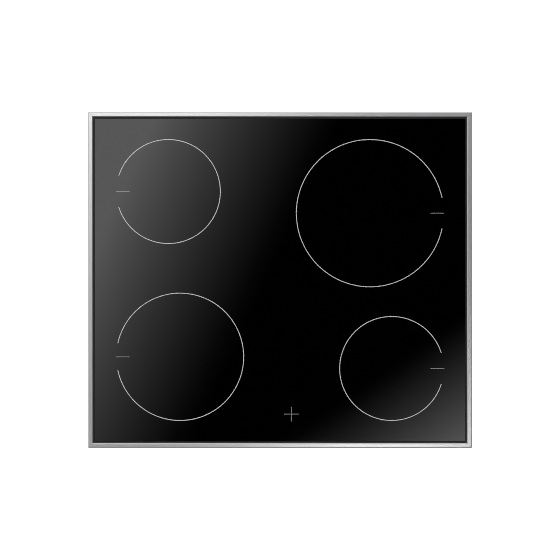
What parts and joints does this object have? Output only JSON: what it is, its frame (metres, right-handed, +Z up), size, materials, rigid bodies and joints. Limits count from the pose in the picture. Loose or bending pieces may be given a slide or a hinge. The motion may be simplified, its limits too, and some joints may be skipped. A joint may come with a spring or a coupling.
{
  "type": "induction cooktop",
  "caption": "Framed built-in induction cooktop with ringed zones on black glass, sprung coils, cooling fans, swing-out worktop clamps and a hinged terminal lid.",
  "frame": {"origin": "centre of the footprint, level with the underside of the casing's four embossed feet", "axes": "+X to the right and +Y to the rear as the cook stands in front of it, +Z up out of the glass"},
  "size_m": [0.576, 0.504, 0.057],
  "materials": {
    "glass_ceramic": "polished black glass-ceramic, opaque",
    "ring_print": "fired white enamel print",
    "mark_print": "fired grey enamel print",
    "silicone": "matte dark grey silicone",
    "trim_steel": "fine-brushed stainless steel",
    "foam": "closed-cell foam",
    "zinc_sheet": "galvanised sheet steel",
    "screw_steel": "stainless pan-head screws",
    "aluminium_sheet": "mill-finish aluminium sheet",
    "post_steel": "zinc-plated steel",
    "screw_zinc": "yellow zinc plating",
    "black_plastic": "black moulded plastic",
    "lid_plastic": "black moulded plastic",
    "gland_plastic": "black nylon",
    "terminal_plastic": "cream moulded plastic",
    "brass": "plain brass",
    "bracket_steel": "zinc-plated steel",
    "clamp_zinc": "bright zinc plating",
    "clamp_steel": "zinc-plated strip steel",
    "board": "green circuit board with solder resist",
    "sink_aluminium": "extruded aluminium",
    "package_black": "black epoxy",
    "capacitor_film": "blue dipped film capacitor",
    "copper": "enamelled copper wire",
    "light_box_white": "white reflector plastic",
    "socket_plastic": "cream moulded plastic",
    "sensor_ceramic": "unglazed ceramic",
    "mica": "mica sheet",
    "fan_plastic": "black glass-filled plastic",
    "rotor_plastic": "black glass-filled plastic",
    "carrier_plastic": "cream heat-resistant plastic",
    "ferrite": "dark grey ferrite",
    "spring_steel": "spring steel wire"
  },
  "bodies": {
    "housing": {"glass_top": "glass_ceramic", "zone_rings": "ring_print", "zone_marks": "mark_print", "glass_seal": "silicone", "trim_front": "trim_steel", "trim_rear": "trim_steel", "trim_left": "trim_steel", "trim_right": "trim_steel", "worktop_gasket": "foam", "base_pan": "zinc_sheet", "side_screws": "screw_steel", "coil_plate": "aluminium_sheet", "plate_posts": "post_steel", "inner_screws": "screw_zinc", "terminal_box": "black_plastic", "terminal_block": "terminal_plastic", "terminal_screws": "brass", "cable_gland": "gland_plastic", "clamp_ears": "bracket_steel", "fan_frame_left": "fan_plastic", "fan_frame_right": "fan_plastic", "power_board_left": "board", "power_board_right": "board", "heat_sinks": "sink_aluminium", "transistors": "package_black", "capacitors": "capacitor_film", "filter_board": "board", "filter_choke": "copper", "indicator_board": "board", "light_box": "light_box_white", "control_socket": "socket_plastic", "temperature_sensors": "sensor_ceramic", "insulating_mats": "mica", "springs_rear_left": "spring_steel", "springs_rear_right": "spring_steel", "springs_front_left": "spring_steel", "springs_front_right": "spring_steel"},
    "fan_rotor_left": {"fan_rotor_left": "rotor_plastic"},
    "fan_rotor_right": {"fan_rotor_right": "rotor_plastic"},
    "terminal_lid": {"terminal_lid": "lid_plastic"},
    "coil_rear_left": {"coil_carrier_rear_left": "carrier_plastic", "winding_rear_left": "copper", "ferrites_rear_left": "ferrite"},
    "coil_rear_right": {"coil_carrier_rear_right": "carrier_plastic", "winding_rear_right": "copper", "ferrites_rear_right": "ferrite"},
    "coil_front_left": {"coil_carrier_front_left": "carrier_plastic", "winding_front_left": "copper", "ferrites_front_left": "ferrite"},
    "coil_front_right": {"coil_carrier_front_right": "carrier_plastic", "winding_front_right": "copper", "ferrites_front_right": "ferrite"},
    "clamp_screw_rear_left": {"clamp_screw_rear_left": "clamp_zinc"},
    "clamp_arm_rear_left": {"clamp_arm_rear_left": "clamp_steel"},
    "clamp_screw_rear_right": {"clamp_screw_rear_right": "clamp_zinc"},
    "clamp_arm_rear_right": {"clamp_arm_rear_right": "clamp_steel"},
    "clamp_screw_front_left": {"clamp_screw_front_left": "clamp_zinc"},
    "clamp_arm_front_left": {"clamp_arm_front_left": "clamp_steel"},
    "clamp_screw_front_right": {"clamp_screw_front_right": "clamp_zinc"},
    "clamp_arm_front_right": {"clamp_arm_front_right": "clamp_steel"}
  },
  "joints": [
    {"name": "fan_left_spin", "type": "hinge", "parent": "housing", "child": "fan_rotor_left", "pos_m": [-0.165, 0.165, 0.015], "axis": [0, 0, 1], "continuous": true},
    {"name": "fan_right_spin", "type": "hinge", "parent": "housing", "child": "fan_rotor_right", "pos_m": [0.165, 0.165, 0.015], "axis": [0, 0, 1], "continuous": true},
    {"name": "terminal_lid_swing", "type": "hinge", "parent": "housing", "child": "terminal_lid", "pos_m": [0, 0.1645, 0.003], "axis": [-1, 0, 0], "range_deg": [0, 95]},
    {"name": "coil_rear_left_press", "type": "slide", "parent": "housing", "child": "coil_rear_left", "axis": [0, 0, 1], "range_m": [-0.003, 0], "stiffness_N_per_m": 3000, "springref_m": 0.004, "deforming": ["springs_rear_left"]},
    {"name": "coil_rear_right_press", "type": "slide", "parent": "housing", "child": "coil_rear_right", "axis": [0, 0, 1], "range_m": [-0.003, 0], "stiffness_N_per_m": 3000, "springref_m": 0.004, "deforming": ["springs_rear_right"]},
    {"name": "coil_front_left_press", "type": "slide", "parent": "housing", "child": "coil_front_left", "axis": [0, 0, 1], "range_m": [-0.003, 0], "stiffness_N_per_m": 3000, "springref_m": 0.004, "deforming": ["springs_front_left"]},
    {"name": "coil_front_right_press", "type": "slide", "parent": "housing", "child": "coil_front_right", "axis": [0, 0, 1], "range_m": [-0.003, 0], "stiffness_N_per_m": 3000, "springref_m": 0.004, "deforming": ["springs_front_right"]},
    {"name": "clamp_rear_left_lift", "type": "slide", "parent": "housing", "child": "clamp_screw_rear_left", "axis": [0, 0, 1], "range_m": [0, 0.01]},
    {"name": "clamp_rear_left_swing", "type": "hinge", "parent": "clamp_screw_rear_left", "child": "clamp_arm_rear_left", "pos_m": [-0.273, 0.15, 0.007], "axis": [0, 0, -1], "range_deg": [0, 90]},
    {"name": "clamp_rear_right_lift", "type": "slide", "parent": "housing", "child": "clamp_screw_rear_right", "axis": [0, 0, 1], "range_m": [0, 0.01]},
    {"name": "clamp_rear_right_swing", "type": "hinge", "parent": "clamp_screw_rear_right", "child": "clamp_arm_rear_right", "pos_m": [0.273, 0.15, 0.007], "axis": [0, 0, 1], "range_deg": [0, 90]},
    {"name": "clamp_front_left_lift", "type": "slide", "parent": "housing", "child": "clamp_screw_front_left", "axis": [0, 0, 1], "range_m": [0, 0.01]},
    {"name": "clamp_front_left_swing", "type": "hinge", "parent": "clamp_screw_front_left", "child": "clamp_arm_front_left", "pos_m": [-0.273, -0.15, 0.007], "axis": [0, 0, 1], "range_deg": [0, 90]},
    {"name": "clamp_front_right_lift", "type": "slide", "parent": "housing", "child": "clamp_screw_front_right", "axis": [0, 0, 1], "range_m": [0, 0.01]},
    {"name": "clamp_front_right_swing", "type": "hinge", "parent": "clamp_screw_front_right", "child": "clamp_arm_front_right", "pos_m": [0.273, -0.15, 0.007], "axis": [0, 0, -1], "range_deg": [0, 90]}
  ]
}
